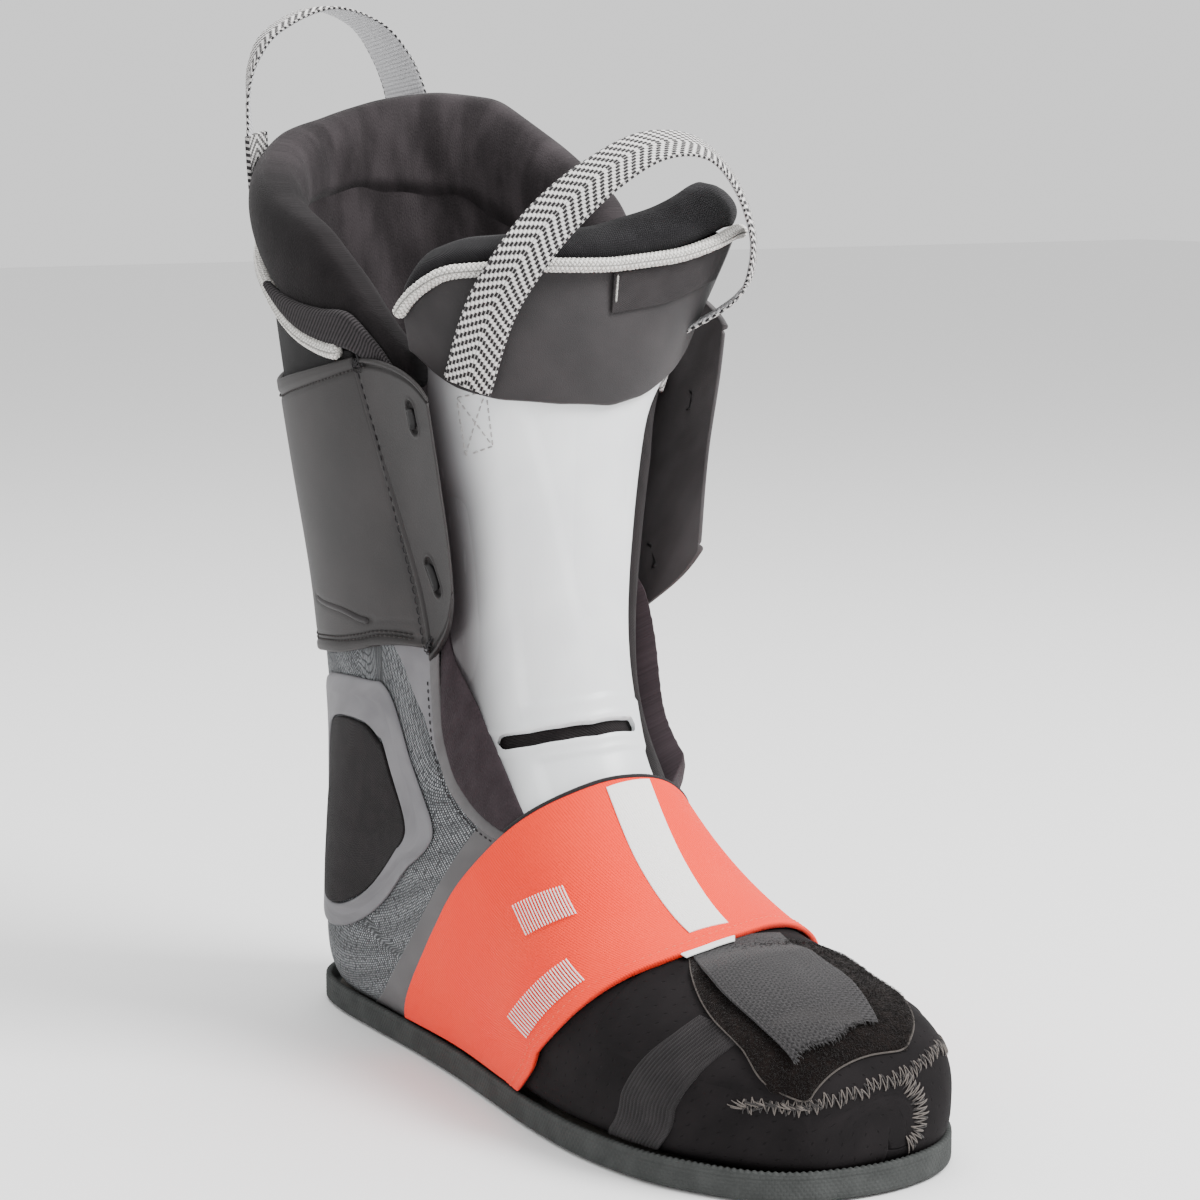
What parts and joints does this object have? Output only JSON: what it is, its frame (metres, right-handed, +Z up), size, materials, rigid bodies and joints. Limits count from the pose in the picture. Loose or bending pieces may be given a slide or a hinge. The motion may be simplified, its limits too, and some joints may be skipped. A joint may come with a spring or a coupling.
{
  "type": "ski boot liner",
  "caption": "Right inner boot of an alpine ski boot: padded high cuff, hinged plastic tongue, elastic instep wrap, stretch toe and webbing pull loops.",
  "frame": {"origin": "on the ground under the middle of the sole", "axes": "+Z up, -Y towards the toe, +X towards the big-toe side of this right foot"},
  "size_m": [0.1288, 0.3161, 0.3478],
  "materials": {
    "sole_rubber": "matte, fine embossed weave",
    "board": "matte stitched board",
    "footbed_foam": "matte felt",
    "stretch_fabric": "matte ribbed stretch fabric",
    "neoprene": "matte, fine knit",
    "plush": "short soft pile",
    "foam": "closed-cell foam",
    "quarter_knit": "satin knit, blue-grey",
    "welded_film": "smooth satin film",
    "ankle_fabric": "matte fine fabric",
    "panel_plastic": "satin moulded plastic",
    "mesh": "woven mesh",
    "white_braid": "braided cord",
    "wrap_elastic": "fine diagonal rib, elastic",
    "white_print": "flat print",
    "loop_pile": "fuzzy loop pile",
    "tab_weave": "coarse plain weave",
    "hook_strip": "hook tape",
    "tongue_plastic": "semi-gloss milky plastic",
    "shield_film": "soft-touch matte",
    "pad_fabric": "ripstop fabric",
    "label_weave": "woven satin tag",
    "webbing": "black and white herringbone"
  },
  "bodies": {
    "liner": {"outsole": "sole_rubber", "insole_board": "board", "footbed": "footbed_foam", "vamp_top": "stretch_fabric", "toe_side_lateral": "neoprene", "toe_side_medial": "neoprene", "forefoot_lining": "plush", "midfoot_foam_lateral": "foam", "midfoot_foam_medial": "foam", "quarter_lateral": "quarter_knit", "quarter_medial": "quarter_knit", "ankle_frame_lateral": "welded_film", "ankle_frame_medial": "welded_film", "ankle_pad_lateral": "ankle_fabric", "ankle_pad_medial": "ankle_fabric", "back_strip": "welded_film", "cuff_foam": "foam", "cuff_lining": "plush", "cuff_panel_lateral": "panel_plastic", "cuff_panel_medial": "panel_plastic", "collar_mesh": "mesh", "collar_roll": "plush", "collar_piping": "white_braid", "gusset_lateral": "plush", "gusset_medial": "plush", "instep_wrap": "wrap_elastic", "wrap_stripe": "white_print", "toe_loop_patch": "loop_pile", "toe_tab": "tab_weave", "tab_hook": "hook_strip", "tongue_stay": "tongue_plastic", "tongue_plate_lower": "tongue_plastic", "tongue_foam_lower": "foam", "rear_loop_tails": "webbing"},
    "tongue": {"tongue_plate_upper": "tongue_plastic", "tongue_foam": "foam", "tongue_lining": "plush", "tongue_shield": "shield_film", "tongue_pad": "pad_fabric", "tongue_piping": "white_braid", "tongue_label": "label_weave", "front_loop_tails": "webbing"},
    "front_pull": {"front_loop": "webbing"},
    "rear_pull": {"rear_loop": "webbing"},
    "outer_flap": {"flap_lateral": "panel_plastic"},
    "inner_flap": {"flap_medial": "panel_plastic"}
  },
  "joints": [
    {"name": "tongue_tilt", "type": "hinge", "parent": "liner", "child": "tongue", "pos_m": [0, -0.004, 0.113], "axis": [1, 0, 0], "range_deg": [0, 35]},
    {"name": "front_pull_swing", "type": "hinge", "parent": "tongue", "child": "front_pull", "pos_m": [-0.04, 0.01, 0.23], "axis": [0.9861, -0.09, 0.14], "range_deg": [0, 50]},
    {"name": "rear_pull_swing", "type": "hinge", "parent": "liner", "child": "rear_pull", "pos_m": [-0.04, 0.155, 0.304], "axis": [-0.995, -0.1, 0], "range_deg": [0, 60]},
    {"name": "outer_flap_swing", "type": "hinge", "parent": "liner", "child": "outer_flap", "pos_m": [-0.0584, 0.0572, 0.2345], "axis": [0.1889, -0.1729, -0.9666], "range_deg": [0, 50]},
    {"name": "inner_flap_swing", "type": "hinge", "parent": "liner", "child": "inner_flap", "pos_m": [0.0584, 0.0572, 0.2345], "axis": [0.1889, 0.1729, 0.9666], "range_deg": [0, 50]}
  ]
}
